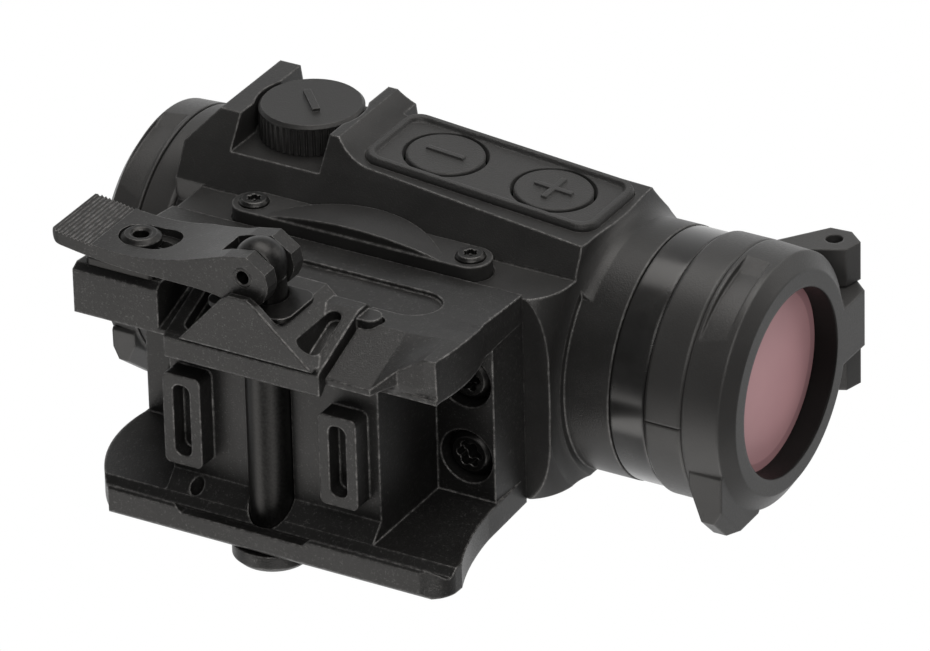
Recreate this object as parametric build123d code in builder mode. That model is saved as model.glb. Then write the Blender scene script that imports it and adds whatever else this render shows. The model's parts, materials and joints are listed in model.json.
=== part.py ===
"""Tube red-dot sight with flip-up lens covers on a quick-release rail mount, in millimetres.

+X runs along the optical axis to the objective end, +Z points away from the rail and -Y is the
control side.  The origin is on the rail's top plane, on its centre line, at the cross bolt.
"""
from build123d import *
import math
import os

# Rail and clamp: the standard 21.2 mm rail, whose recoil slots are 10.01 mm apart
RAIL_TOP_HALF = 7.83
RAIL_HALF = 10.6
JAW_GAP = 0.1
LUG_SPACING = 20.0
LUG_SIZE = (4.8, 11.3, 2.6)
BOLT_R = 2.55
BOLT_Z = -0.4
JAW_BOTTOM = -5.3

# Optical tube
OPTIC_Z = 36.07
TUBE_R = 14.5
BORE_R = 12.0
COLLAR_R = 14.75
REAR_X = -27.5
COLLAR_END_X = 30.6
OPENING_R = 11.03
CELL_R = 10.9
CELL_BORE_R = 10.1
PIVOT_X = 22.5
TRUNNION_R = 0.9

# Body and mount
BODY_HALF = 12.7
MOUNT_HALF = 13.2
SEAM_Z = 19.2
BODY_BACK_X = -24.0
BODY_FRONT_X = 21.2
RECESS_Z = 12.4
WALL_IN = 9.85
DECK_BACK_X = -13.0
DECK_FRONT_X = 13.8
SCREW_X = (-18.0, 17.6)
SCREW_Y = 4.8

# Adjustment turrets
TURRET_X = -15.6
TURRET_FLOOR = 16.7
TURRET_TOP = 20.75
CAP_R = 6.09

# Control pad on its sloping deck
DECK_SLOPE = 0.08
PAD_X = 8.9
PAD_Z = 35.9
PAD_SIZE = (29.6, 12.2)
BUTTON_PITCH = 13.94
BUTTON_R = 4.5
BUTTON_GAP = 0.45

# Battery cover
COVER_X = -1.0
COVER_Z = 22.1
COVER_SCREW_SPACING = 28.0
COVER_OUTER_Y = -14.5
COVER_SEAT_Y = -12.4
CELL_COIN_R = 10.0
SEAL_SPACING = 20.8
CREST_RISE = 1.2
CREST_BALL_R = 52.0

# Guide bar across the jaw, whose round ends run in the mount's wall
GUIDE_X = -0.5
GUIDE_Z = 4.3
GUIDE_SIZE = (24.8, 2.7)
GUIDE_IN = 13.6

# Quick-release lever
LEVER_PIN = (-0.2, -21.4)
LEVER_Z = -0.7
LEVER_HALF = 4.7
FORK_HALF = 3.8
FORK_SLOT_HALF = 1.8
EYE_R = 3.05
SADDLE_TOP_Y = -17.5
SADDLE_BACK_Y = -16.9
LOCK_X = -16.0

# Flip-up covers: distances along the tube from the end of the ring that carries the cover
FRONT_RING_X = (35.15, 39.9)
REAR_RING_X = (-27.5, -31.4)
COVER_DEPTH = 5.8
REAR_COVER_DEPTH = 5.0
COVER_R = 15.1
MOULD_LINE = (0.22, 0.5)
# Lift tabs: reach from the optical axis, half widths at root and tip, and depth along the tube
FRONT_TAB = (18.2, 6.0, 2.0, 4.6)
REAR_TAB = (16.9, 6.6, 4.2, 3.5)
# Turn of each tab round the tube from halfway between +Y and the rail
FRONT_TAB_TURN = 0.0
REAR_TAB_TURN = 7.0
HINGE_AHEAD = 1.3
HINGE_UP = 18.83
HINGE_PIN_R = 1.0
HINGE_PIN_RECESS = 0.9
EAR_Y = ((-8.1, -3.35), (3.95, 10.0))
TONGUE_Y = (-3.2, 3.8)

OPTIC_AXIS = Axis((0, 0, OPTIC_Z), (1, 0, 0))
SIDE = Plane(origin=(0, 0, OPTIC_Z), x_dir=(1, 0, 0), z_dir=(0, -1, 0))
DECK_Y = -17.45 + DECK_SLOPE * (PAD_X - 7.0)
DECK = Plane(origin=(PAD_X, DECK_Y, PAD_Z), x_dir=(1, DECK_SLOPE, 0), z_dir=(DECK_SLOPE, -1, 0))
WINDAGE = Plane(origin=(TURRET_X, 0, OPTIC_Z), x_dir=(1, 0, 0), z_dir=(0, -1, 0))
ELEVATION = Plane(origin=(TURRET_X, 0, OPTIC_Z), x_dir=(1, 0, 0), z_dir=(0, 0, 1))
YAW_PIVOT = Plane(origin=(PIVOT_X, 0, OPTIC_Z), x_dir=(1, 0, 0), z_dir=(0, 0, 1))
PITCH_PIVOT = Plane(origin=(PIVOT_X, 0, OPTIC_Z), x_dir=(1, 0, 0), z_dir=(0, -1, 0))


def across(x):
    """Plane square to the optical axis: local x is Y, local y is the height above the axis."""
    return Plane(origin=(x, 0, OPTIC_Z), x_dir=(0, 1, 0), z_dir=(1, 0, 0))


def rail_section(x):
    """Plane square to the rail with its own height as local y."""
    return Plane(origin=(x, 0, 0), x_dir=(0, 1, 0), z_dir=(1, 0, 0))


def outline(plane, *points):
    """Closed straight-sided face on a plane."""
    with BuildSketch(plane) as face:
        with BuildLine():
            Polyline(*points, close=True)
        make_face()
    return face.sketch


def disc(plane, radius, inner=0.0):
    """Round face, with a hole if it is given an inner radius."""
    with BuildSketch(plane) as face:
        Circle(radius)
        if inner:
            Circle(inner, mode=Mode.SUBTRACT)
    return face.sketch


def rounded(plane, width, height, radius):
    """Rectangle with round corners, centred on a plane."""
    with BuildSketch(plane) as face:
        RectangleRounded(width, height, radius)
    return face.sketch


def slot(plane, centre_distance, width):
    """Oblong face, centred on a plane."""
    with BuildSketch(plane) as face:
        SlotCenterToCenter(centre_distance, width)
    return face.sketch


def tube(start, end, outer, inner):
    """Plain tube about the optical axis."""
    with BuildPart() as ring:
        extrude(disc(across(start), outer, inner), amount=end - start)
    return ring.part


def coil(start, direction, radius, wire, length, turns):
    """Open coil spring from a starting point along a direction."""
    with BuildPart() as spring:
        with BuildLine() as path:
            Helix(pitch=length / turns, height=length, radius=radius, center=start, direction=direction)
        with BuildSketch(Plane(origin=path.line @ 0, z_dir=path.line % 0)):
            Circle(wire)
        sweep(path=path.line)
    return spring.part


def save(piece, name):
    """Label a piece and write it as one STEP file."""
    piece.label = name
    export_step(piece, f"parts/{name}.step")


os.makedirs("parts", exist_ok=True)

# ------------------------------------------------------------------ main housing
RIDGE = ((0, -9.5), (-13.0, -10.6), (-17.3, -8.0), (-20.6, -5.7), (-20.6, 7.3), (-17.3, 8.0), (-11.0, 10.6),
         (0, 9.5))
DECK_FRONT = (28.2, -17.45 + DECK_SLOPE * 21.2)
EAR_FRONT_X = -8.6
EAR_FOOT = (-4.2, -17.45 - DECK_SLOPE * 11.2)


def control_ridge():
    """Side ridge that carries the windage turret's ears and the sloping button deck."""
    with BuildSketch(Plane.XY) as plan:
        with BuildLine():
            Polyline(EAR_FOOT, DECK_FRONT, (30.0, -14.0), (30.0, 14.0), (REAR_X, 14.0), (REAR_X, -16.7),
                     (-24.1, -20.5), (EAR_FRONT_X, -20.5))
            ThreePointArc((EAR_FRONT_X, -20.5), (-7.0, -19.3), EAR_FOOT)
        make_face()
    with BuildPart() as ridge:
        extrude(outline(across(REAR_X), *RIDGE), amount=56.0)
        extrude(plan.sketch, amount=60.0, mode=Mode.INTERSECT)
    return ridge.part


def top_ridge():
    """Ridge above the tube that carries the elevation turret between two ears."""
    section = [(across_y, -along_z) for along_z, across_y in RIDGE]
    with BuildSketch(SIDE) as plan:
        with BuildLine():
            Polyline((-3.6, 17.4), (3.0, 16.4), (12.0, 13.0), (12.0, 0.0), (REAR_X, 0.0), (REAR_X, 15.6),
                     (-24.1, 20.5), (EAR_FRONT_X, 20.5))
            ThreePointArc((EAR_FRONT_X, 20.5), (-6.6, 18.6), (-3.6, 17.4))
        make_face()
    with BuildPart() as ridge:
        extrude(outline(across(REAR_X), *section), amount=40.0)
        extrude(plan.sketch, amount=20.0, both=True, mode=Mode.INTERSECT)
    return ridge.part


def turret_pocket(base):
    """Space between a turret's ears, less the threaded stub that its cap screws on to."""
    with BuildPart() as pocket:
        with BuildSketch(base.offset(TURRET_FLOOR)):
            Rectangle(11.6, 30.0)
            Circle(CAP_R + 0.4)
        extrude(amount=8.0)
        extrude(disc(base.offset(TURRET_FLOOR), 4.2), amount=1.9, mode=Mode.SUBTRACT)
        extrude(disc(base.offset(TURRET_FLOOR - 2.6), 2.7), amount=6.0)
        extrude(disc(base.offset(BORE_R - 1.5), 1.45), amount=6.0)
        extrude(disc(base.offset(TURRET_FLOOR - 0.45), 5.3, 4.2), amount=0.5)
    return pocket.part


with BuildPart() as main_housing:
    add(control_ridge())
    add(top_ridge())
    with BuildSketch(Plane.XY.offset(SEAM_Z)):
        with Locations(((BODY_BACK_X + 25.0) / 2, 0)):
            Rectangle(25.0 - BODY_BACK_X, 2 * BODY_HALF)
    extrude(amount=14.0)
    extrude(disc(across(REAR_X), TUBE_R), amount=53.0)
    extrude(disc(across(24.0), COLLAR_R), amount=COLLAR_END_X - 24.0)
    # The lathe-turned front envelope cuts every flat face to a curved edge
    with BuildSketch(SIDE):
        with BuildLine():
            Polyline((REAR_X, 0), (REAR_X, 27.0), (17.0, 27.0), (BODY_FRONT_X, 21.3))
            ThreePointArc((BODY_FRONT_X, 21.3), (23.5, 19.6), (24.4, 17.6))
            ThreePointArc((24.4, 17.6), (24.9, 15.75), (26.5, COLLAR_R))
            Polyline((26.5, COLLAR_R), (COLLAR_END_X, COLLAR_R), (COLLAR_END_X, 0), (REAR_X, 0))
        make_face()
    revolve(axis=OPTIC_AXIS, mode=Mode.INTERSECT)
    # The deck's upper edge is bevelled ahead of the ears
    extrude(outline(across(-6.4), (-18.9, 4.9), (-21.5, 4.9), (-21.5, 11.5), (-10.5, 11.5)), amount=40.0,
            mode=Mode.SUBTRACT)
    # Bore, with a lip that the ocular window rests on, and the objective ring's seat
    add(tube(-22.0, 25.6, BORE_R, 0), mode=Mode.SUBTRACT)
    add(tube(REAR_X, -22.0, 11.3, 0), mode=Mode.SUBTRACT)
    add(tube(REAR_X, -23.5, 12.9, 0), mode=Mode.SUBTRACT)
    add(tube(-23.5, -23.0, 12.65, 11.9), mode=Mode.SUBTRACT)
    add(tube(25.6, COLLAR_END_X, 13.9, 0), mode=Mode.SUBTRACT)
    add(turret_pocket(WINDAGE), mode=Mode.SUBTRACT)
    add(turret_pocket(ELEVATION), mode=Mode.SUBTRACT)
    # Pocket for the rubber pad, its switches and the circuit board
    pad_seat = rounded(DECK.offset(-1.5), PAD_SIZE[0] + 0.1, PAD_SIZE[1] + 0.1, 2.25)
    extrude(pad_seat, amount=5.0, mode=Mode.SUBTRACT)
    extrude(rounded(DECK, PAD_SIZE[0] - 2.4, PAD_SIZE[1] - 2.0, 1.5), amount=-3.75, mode=Mode.SUBTRACT)
    # Battery slot, the cover's shallow seat and its two screw holes
    with BuildSketch(Plane.XZ.offset(-COVER_SEAT_Y - 22.0)):
        with Locations((COVER_X, 21.825)):
            Rectangle(22.2, 3.55)
    extrude(amount=23.0, mode=Mode.SUBTRACT)
    cover_seat = Plane(origin=(COVER_X, COVER_SEAT_Y, COVER_Z), x_dir=(1, 0, 0), z_dir=(0, -1, 0))
    extrude(slot(cover_seat, COVER_SCREW_SPACING, 5.3), amount=6.0, mode=Mode.SUBTRACT)
    with Locations(cover_seat):
        with GridLocations(COVER_SCREW_SPACING, 1, 2, 1):
            Hole(1.05, depth=4.0)
    # Threaded holes for the mount's screws and the seat of the cell's bias spring
    for screw_x in SCREW_X:
        for side in (-1, 1):
            with Locations(Plane(origin=(screw_x, side * SCREW_Y, SEAM_Z), z_dir=(0, 0, -1))):
                Hole(1.55, depth=3.4)
    with BuildSketch(Plane(origin=(TURRET_X, 7.8, OPTIC_Z - 7.8), z_dir=(0, 1, -1))):
        Circle(1.75)
    extrude(amount=4.7, mode=Mode.SUBTRACT)
    # Contact pockets in the floor of the battery slot
    with BuildSketch(Plane.XY.offset(19.6)):
        with Locations((COVER_X - 5.0, 2.0), (COVER_X + 5.0, 2.0)):
            Rectangle(3.2, 7.2)
    extrude(amount=0.6, mode=Mode.SUBTRACT)
save(main_housing.part, "main_housing")

# ------------------------------------------------------------------ optics
with BuildPart() as objective_ring:
    with BuildSketch(SIDE):
        with BuildLine():
            Polyline((25.7, 11.6), (25.7, 13.8), (COLLAR_END_X + 0.03, 13.8), (COLLAR_END_X + 0.03, 14.5),
                     (30.85, 14.65), (34.85, 14.65), (35.1, 14.4), (35.1, 13.6), (38.6, 13.6), (39.0, 13.2),
                     (39.0, OPENING_R + 0.4), (29.0, OPENING_R + 0.4), (28.0, 11.6), close=True)
        make_face()
    revolve(axis=OPTIC_AXIS)
    add(tube(28.0, 29.1, 14.5, 13.0), mode=Mode.SUBTRACT)
save(objective_ring.part, "objective_ring")

with BuildPart() as objective_seal:
    add(tube(28.05, 29.05, 13.85, 13.05))
save(objective_seal.part, "objective_seal")

with BuildPart() as inner_optic_tube:
    with BuildSketch(SIDE):
        with BuildLine():
            Polyline((-20.0, CELL_BORE_R), (-20.0, CELL_R), (24.6, CELL_R), (24.6, CELL_BORE_R - 0.3),
                     (24.0, CELL_BORE_R - 0.3), (24.0, CELL_BORE_R), close=True)
        make_face()
    revolve(axis=OPTIC_AXIS)
save(inner_optic_tube.part, "inner_optic_tube")

# Ring between the housing and the inner tube: upright trunnions for yaw, level ones for pitch
with BuildPart() as gimbal_ring:
    extrude(disc(YAW_PIVOT, TRUNNION_R), amount=11.94, both=True)
    extrude(disc(PITCH_PIVOT, TRUNNION_R), amount=11.3, both=True)
    add(tube(PIVOT_X - 2.0, PIVOT_X + 2.0, 10.98, 0), mode=Mode.SUBTRACT)
    add(tube(PIVOT_X - 1.4, PIVOT_X + 1.4, 11.7, 11.05))
save(gimbal_ring.part, "gimbal_ring")

with BuildPart() as objective_lens:
    extrude(disc(across(21.6), CELL_BORE_R - 0.05), amount=2.3)
    with Locations((81.0, 0, OPTIC_Z)):
        Sphere(58.0, mode=Mode.SUBTRACT)
save(objective_lens.part, "objective_lens")

with BuildPart() as ocular_window:
    add(tube(-25.2, -23.53, 12.8, 0))
save(ocular_window.part, "ocular_window")

with BuildPart() as ocular_seal:
    add(tube(-23.5, -23.05, 12.6, 11.95))
save(ocular_seal.part, "ocular_seal")

with BuildPart() as ocular_retainer:
    add(tube(-27.4, -25.25, 12.85, 11.2))
    with BuildSketch(Plane.XZ.offset(-15.0)):
        with Locations((-27.4, OPTIC_Z)):
            Rectangle(1.2, 1.4)
    extrude(amount=30.0, mode=Mode.SUBTRACT)
save(ocular_retainer.part, "ocular_retainer")

with BuildPart() as emitter_holder:
    extrude(outline(across(-14.0), (-1.8, -9.85), (1.8, -9.85), (1.2, -7.6), (-1.2, -7.6)), amount=4.0)
save(emitter_holder.part, "emitter_holder")

with BuildPart() as led_emitter:
    with BuildSketch(across(-9.98)):
        with Locations((0, -8.5)):
            Rectangle(1.0, 1.0)
    extrude(amount=0.6)
save(led_emitter.part, "led_emitter")

cell_spring_foot = (CELL_R + 0.3) / math.sqrt(2.0)
cell_spring_start = (TURRET_X, cell_spring_foot, OPTIC_Z - cell_spring_foot)
save(coil(cell_spring_start, (0, 1, -1), 0.9, 0.18, 3.6, 4), "cell_spring")

# ------------------------------------------------------------------ turrets


def turret_cap(base):
    """Knurled cup with a raised bar that turns the adjuster when the cap is turned over."""
    with BuildPart() as cap:
        extrude(disc(base.offset(TURRET_FLOOR + 0.08), CAP_R), amount=TURRET_TOP - TURRET_FLOOR - 0.28)
        chamfer(cap.edges().group_by(Axis(base.origin, base.z_dir))[-1], 0.35)
        extrude(disc(base.offset(TURRET_FLOOR), 4.35), amount=2.2, mode=Mode.SUBTRACT)
        with BuildSketch(base.offset(TURRET_TOP - 0.3)):
            Rectangle(0.9, 4.9, rotation=43)
        extrude(amount=0.5)
        with BuildSketch(base.offset(TURRET_FLOOR)):
            with PolarLocations(CAP_R + 0.05, 44):
                RegularPolygon(0.3, 4)
        extrude(amount=TURRET_TOP - TURRET_FLOOR - 0.75, mode=Mode.SUBTRACT)
    return cap.part


def turret_seal(base):
    """O-ring in the groove round the stub."""
    with BuildPart() as seal:
        extrude(disc(base.offset(TURRET_FLOOR - 0.43), 5.2, 4.25), amount=0.46)
    return seal.part


def turret_screw(base):
    """Slotted adjuster that turns inside the stub."""
    with BuildPart() as screw:
        extrude(disc(base.offset(TURRET_FLOOR - 2.5), 2.65), amount=4.2)
        with BuildSketch(base.offset(TURRET_FLOOR + 1.1)):
            Rectangle(0.9, 6.0)
        extrude(amount=1.0, mode=Mode.SUBTRACT)
    return screw.part


def turret_pusher(base):
    """Pin between the adjuster and the optical cell, clear of the screw by its own travel."""
    with BuildPart() as pusher:
        extrude(disc(base.offset(CELL_R + 0.06), 1.4), amount=2.7)
    return pusher.part


for turret_name, turret_base in (("windage", WINDAGE), ("elevation", ELEVATION)):
    save(turret_cap(turret_base), f"{turret_name}_cap")
    save(turret_seal(turret_base), f"{turret_name}_seal")
    save(turret_screw(turret_base), f"{turret_name}_screw")
    save(turret_pusher(turret_base), f"{turret_name}_pusher")

# ------------------------------------------------------------------ control pad
with BuildPart() as button_pad:
    extrude(rounded(DECK.offset(-1.45), PAD_SIZE[0], PAD_SIZE[1], 2.2), amount=1.75)
    with BuildSketch(DECK.offset(0.3)):
        RectangleRounded(PAD_SIZE[0], PAD_SIZE[1], 2.2)
        RectangleRounded(PAD_SIZE[0] - 2.2, PAD_SIZE[1] - 2.2, 1.4, mode=Mode.SUBTRACT)
    extrude(amount=0.5, taper=28)
    with BuildSketch(DECK.offset(-2.0)):
        with GridLocations(BUTTON_PITCH, 1, 2, 1):
            Circle(BUTTON_R + BUTTON_GAP)
    extrude(amount=4.0, mode=Mode.SUBTRACT)
save(button_pad.part, "button_pad")


def button(side, bars):
    """Round key with its symbol raised on it as one or two bars."""
    with BuildPart() as key:
        with BuildSketch(DECK.offset(-1.9)):
            with Locations((side * BUTTON_PITCH / 2, 0)):
                Circle(BUTTON_R)
        extrude(amount=2.35)
        fillet(key.edges().sort_by(Axis(DECK.origin, DECK.z_dir))[-1], 0.25)
        with BuildSketch(DECK.offset(0.4)):
            with Locations((side * BUTTON_PITCH / 2, 0)):
                for width, height in bars:
                    Rectangle(width, height)
        extrude(amount=0.3)
    return key.part


save(button(-1, [(4.8, 0.7)]), "minus_button")
save(button(1, [(4.8, 0.7), (0.7, 4.8)]), "plus_button")

with BuildPart() as circuit_board:
    extrude(rounded(DECK.offset(-3.7), PAD_SIZE[0] - 2.8, PAD_SIZE[1] - 2.4, 1.2), amount=0.7)
save(circuit_board.part, "circuit_board")

with BuildPart() as button_switches:
    with BuildSketch(DECK.offset(-2.98)):
        with GridLocations(BUTTON_PITCH, 1, 2, 1):
            RectangleRounded(3.6, 3.6, 0.4)
    extrude(amount=0.5)
save(button_switches.part, "button_switches")

# ------------------------------------------------------------------ battery
cover_face = Plane(origin=(COVER_X, COVER_SEAT_Y - 0.04, COVER_Z), x_dir=(1, 0, 0), z_dir=(0, -1, 0))
cover_thick = COVER_SEAT_Y - 0.04 - COVER_OUTER_Y
tray_back = 9.5
# Crest of the cover: a segment whose face falls away to both ends as part of a large ball
with BuildPart() as cover_crest:
    with BuildSketch(cover_face.offset(cover_thick - 0.6)):
        with BuildLine():
            Line((-12.0, -2.3), (12.0, -2.3))
            ThreePointArc((12.0, -2.3), (0, 3.6), (-12.0, -2.3))
        make_face()
    extrude(amount=3.0)
    with Locations((COVER_X, COVER_OUTER_Y - CREST_RISE + CREST_BALL_R, COVER_Z - 2.6)):
        Sphere(CREST_BALL_R, mode=Mode.INTERSECT)

with BuildPart() as battery_tray:
    extrude(slot(cover_face, COVER_SCREW_SPACING, 5.0), amount=cover_thick)
    add(cover_crest.part)
    with BuildSketch(Plane.XY.offset(20.15)):
        with Locations((COVER_X, (tray_back + COVER_SEAT_Y) / 2 - 0.2)):
            Rectangle(21.8, tray_back - COVER_SEAT_Y + 0.4)
    extrude(amount=3.35)
    with BuildSketch(Plane.XY.offset(19.9)):
        with Locations((COVER_X, -1.8)):
            Circle(CELL_COIN_R + 0.1)
    extrude(amount=4.0, mode=Mode.SUBTRACT)
    with Locations(cover_face.offset(cover_thick)):
        with GridLocations(COVER_SCREW_SPACING, 1, 2, 1):
            CounterBoreHole(1.1, 1.75, 0.5)
    seal_groove = slot(cover_face, SEAL_SPACING, 4.6) - slot(cover_face, SEAL_SPACING, 3.98)
    extrude(seal_groove, amount=0.5, mode=Mode.SUBTRACT)
save(battery_tray.part, "battery_tray")

with BuildPart() as battery_seal:
    extrude(slot(cover_face, SEAL_SPACING, 4.55) - slot(cover_face, SEAL_SPACING, 4.03), amount=0.45)
save(battery_seal.part, "battery_seal")

with BuildPart() as coin_cell:
    with BuildSketch(Plane.XY.offset(20.2)):
        with Locations((COVER_X, -1.8)):
            Circle(CELL_COIN_R)
    extrude(amount=3.2)
    chamfer(coin_cell.edges().group_by(Axis.Z)[0], 0.5)
save(coin_cell.part, "coin_cell")

with BuildPart() as battery_contacts:
    with BuildSketch(Plane.XY.offset(19.62)):
        with Locations((COVER_X - 5.0, 2.0), (COVER_X + 5.0, 2.0)):
            Rectangle(3.0, 7.0)
    extrude(amount=0.45)
save(battery_contacts.part, "battery_contacts")


def socket_screw(head_plane, head_r, head_h, shank_r, shank_l, socket_r):
    """Screw whose head stands on the given plane, with a six-lobed socket in its top."""
    with BuildPart() as screw:
        extrude(disc(head_plane, head_r), amount=head_h)
        chamfer(screw.edges().group_by(Axis(head_plane.origin, head_plane.z_dir))[-1], head_h * 0.3)
        extrude(disc(head_plane, shank_r), amount=-shank_l)
        with BuildSketch(head_plane.offset(head_h * 0.35)):
            Circle(socket_r * 0.78)
            with PolarLocations(socket_r * 0.7, 6):
                Circle(socket_r * 0.3)
        extrude(amount=head_h, mode=Mode.SUBTRACT)
    return screw.part


with BuildPart() as battery_screws:
    for side in (-1, 1):
        head_x = COVER_X + side * COVER_SCREW_SPACING / 2
        head = Plane(origin=(head_x, COVER_OUTER_Y + 0.48, COVER_Z), x_dir=(1, 0, 0), z_dir=(0, -1, 0))
        add(socket_screw(head, 1.7, 1.05, 1.0, 4.6, 0.85))
save(battery_screws.part, "battery_screws")

# ------------------------------------------------------------------ rail mount
FLANK = ((RAIL_TOP_HALF + JAW_GAP, 0.0), (RAIL_HALF + JAW_GAP, -2.8), (RAIL_HALF + JAW_GAP, -3.35),
         (9.2, -5.0), (9.6, JAW_BOTTOM))
WALL_FOOT_Z = JAW_BOTTOM - 0.1


def bolt_plane(y):
    """Plane square to the cross bolt, facing the lever."""
    return Plane(origin=(0, y, BOLT_Z), x_dir=(1, 0, 0), z_dir=(0, -1, 0))


def wall_profile(rear_low, rear_high, front_low, front_high):
    """Side view of a mount wall, whose ends are hollowed in arcs below the seam."""
    with BuildSketch(Plane.XZ) as profile:
        with BuildLine():
            Polyline((front_high, SEAM_Z), (rear_high, SEAM_Z), (rear_high - 0.3, 12.0))
            ThreePointArc((rear_high - 0.3, 12.0), (rear_high + 0.4, 3.0), (rear_low, -3.6))
            Polyline((rear_low, -3.6), (rear_low + 1.2, WALL_FOOT_Z), (front_low - 3.4, WALL_FOOT_Z))
            ThreePointArc((front_low - 3.4, WALL_FOOT_Z), (front_low - 1.1, -4.4), (front_low, -2.2))
            Line((front_low, -2.2), (front_low, -0.8))
            ThreePointArc((front_low, -0.8), (22.7, 4.0), (front_high + 0.4, 10.0))
            Line((front_high + 0.4, 10.0), (front_high, SEAM_Z))
        make_face()
    return profile.sketch


def fixed_side():
    """Wall on the +Y side that ends in the fixed jaw."""
    inner = ((WALL_IN, SEAM_Z), (WALL_IN, -1.95))
    outer = ((12.3, JAW_BOTTOM), (12.8, -4.8), (MOUNT_HALF, 6.0), (MOUNT_HALF, SEAM_Z))
    section = inner + FLANK[1:] + outer
    with BuildPart() as wall:
        extrude(outline(rail_section(-26.0), *section), amount=52.0)
        extrude(wall_profile(-19.6, -24.0, 24.4, BODY_FRONT_X), amount=40.0, both=True, mode=Mode.INTERSECT)
        with BuildSketch(Plane.XY.offset(JAW_BOTTOM - 1.0)):
            with BuildLine():
                Polyline((-11.2, 8.0), (-9.0, 10.15), (6.6, 10.15), (8.8, 8.0), close=True)
            make_face()
        extrude(amount=2.4, mode=Mode.SUBTRACT)
    return wall.part


# Sections of the wall ahead of the jaw, at distances along the rail: inner foot, foot, outer face
LEANING = ((-WALL_IN, -1.8), (-10.75, -2.6), (-10.75, -4.6), (-11.5, -4.6), (-14.7, 3.6), (-14.4, 6.2))
FLARING = ((-WALL_IN, -1.6), (-10.75, -1.9), (-11.5, -2.0), (-13.2, -2.1), (-14.8, 3.6), (-14.5, 6.2))
SQUARE = ((-WALL_IN, -1.4), (-10.75, -1.5), (-11.5, -1.6), (-15.2, -1.8), (-15.15, 3.6), (-14.9, 6.2))
CHEEK = ((9.0, LEANING), (15.6, LEANING), (17.6, FLARING), (20.8, SQUARE), (24.6, SQUARE))
CHEEK_TOP = ((-14.1, 9.5), (-WALL_IN, 9.5))


def lever_side():
    """Wall on the -Y side: outer face leaning in to the rail, with a block under the lever's tip."""
    section = ((-WALL_IN, SEAM_Z), (-MOUNT_HALF, SEAM_Z), (-MOUNT_HALF - 0.9, 9.5), (-10.4, -1.8),
               (-WALL_IN, -1.8))
    block = ((-WALL_IN, 9.0), (-14.1, 9.0), (-15.4, 5.0), (-15.9, 3.0), (-15.9, -1.0), (-15.2, -1.8),
             (-WALL_IN, -1.8))
    # Ahead of the jaw the wall leans like the jaw, then flares to a square corner
    with BuildPart() as corner:
        for x, lower in CHEEK:
            add(outline(rail_section(x), *lower, *CHEEK_TOP))
        loft(ruled=True)
    with BuildPart() as wall:
        extrude(outline(rail_section(-26.0), *section), amount=52.0)
        extrude(outline(rail_section(-26.0), *block), amount=12.9)
        add(corner.part)
        extrude(wall_profile(-24.4, -24.0, 22.3, BODY_FRONT_X), amount=40.0, both=True, mode=Mode.INTERSECT)
        with BuildSketch(Plane.XZ.offset(5.0)):
            with Locations((-0.4, 0.0)):
                Rectangle(20.8, 12.7)
        extrude(amount=20.0, mode=Mode.SUBTRACT)
        with BuildSketch(Plane.XZ.offset(GUIDE_IN - 0.1)):
            with Locations((GUIDE_X, GUIDE_Z)):
                SlotOverall(GUIDE_SIZE[0] + 0.6, GUIDE_SIZE[1] + 0.6)
        extrude(amount=6.0, mode=Mode.SUBTRACT)
    return wall.part


with BuildPart() as mount_base:
    with BuildSketch(Plane.XY.offset(RECESS_Z)):
        with Locations(((BODY_BACK_X + BODY_FRONT_X) / 2, 0)):
            Rectangle(BODY_FRONT_X - BODY_BACK_X, 2 * WALL_IN + 0.4)
    extrude(amount=SEAM_Z - RECESS_Z)
    deck_edge = ((-9.4, 0.0), (RAIL_TOP_HALF + JAW_GAP, 0.0), (WALL_IN + 0.2, -2.1),
                 (WALL_IN + 0.2, RECESS_Z + 0.2), (-9.4, RECESS_Z + 0.2))
    extrude(outline(rail_section(DECK_BACK_X), *deck_edge), amount=DECK_FRONT_X - DECK_BACK_X)
    with BuildSketch(Plane.XY.offset(6.4)):
        with Locations((0.4, -9.6)):
            Rectangle(DECK_FRONT_X - DECK_BACK_X, 2.0)
    extrude(amount=6.4)
    add(fixed_side())
    add(lever_side())
    # Recoil lugs, each with an oblong recess
    with BuildSketch(Plane.XY):
        with GridLocations(LUG_SPACING, 1, 2, 1):
            RectangleRounded(LUG_SIZE[0], LUG_SIZE[1], 0.7)
    extrude(amount=-LUG_SIZE[2])
    with BuildSketch(Plane.XY.offset(-LUG_SIZE[2])):
        with GridLocations(LUG_SPACING, 1, 2, 1):
            RectangleRounded(2.2, LUG_SIZE[1] - 2.4, 0.9)
    extrude(amount=2.2, mode=Mode.SUBTRACT)
    # Cross bolt hole, jaw spring pockets and the lightening hole beside the fixed jaw
    extrude(disc(bolt_plane(-10.5), BOLT_R + 0.1), amount=-26.0, mode=Mode.SUBTRACT)
    with BuildSketch(Plane.XZ.offset(9.4)):
        with Locations((-6.5, 3.7), (6.5, 3.7)):
            Circle(1.35)
    extrude(amount=-3.6, mode=Mode.SUBTRACT)
    with BuildSketch(Plane.XZ.offset(-7.0)):
        with Locations((-9.4, -1.0)):
            Circle(0.8)
    extrude(amount=-4.0, mode=Mode.SUBTRACT)
    # Screw holes, counterbored from the recesses before and behind the deck
    for screw_x in SCREW_X:
        for side in (-1, 1):
            with Locations(Plane(origin=(screw_x, side * SCREW_Y, RECESS_Z), z_dir=(0, 0, -1))):
                CounterBoreHole(1.65, 3.3, 2.9)
    # Round-ended label panel, left blank
    panel = Plane(origin=(0.2, -14.35, 10.9), x_dir=(1, 0, 0), z_dir=(0, -1, 0.0))
    extrude(slot(panel, 23.6, 6.8), amount=1.0, mode=Mode.SUBTRACT)
    extrude(slot(panel, 23.6, 6.8), amount=-1.2, mode=Mode.SUBTRACT)
save(mount_base.part, "mount_base")

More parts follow.
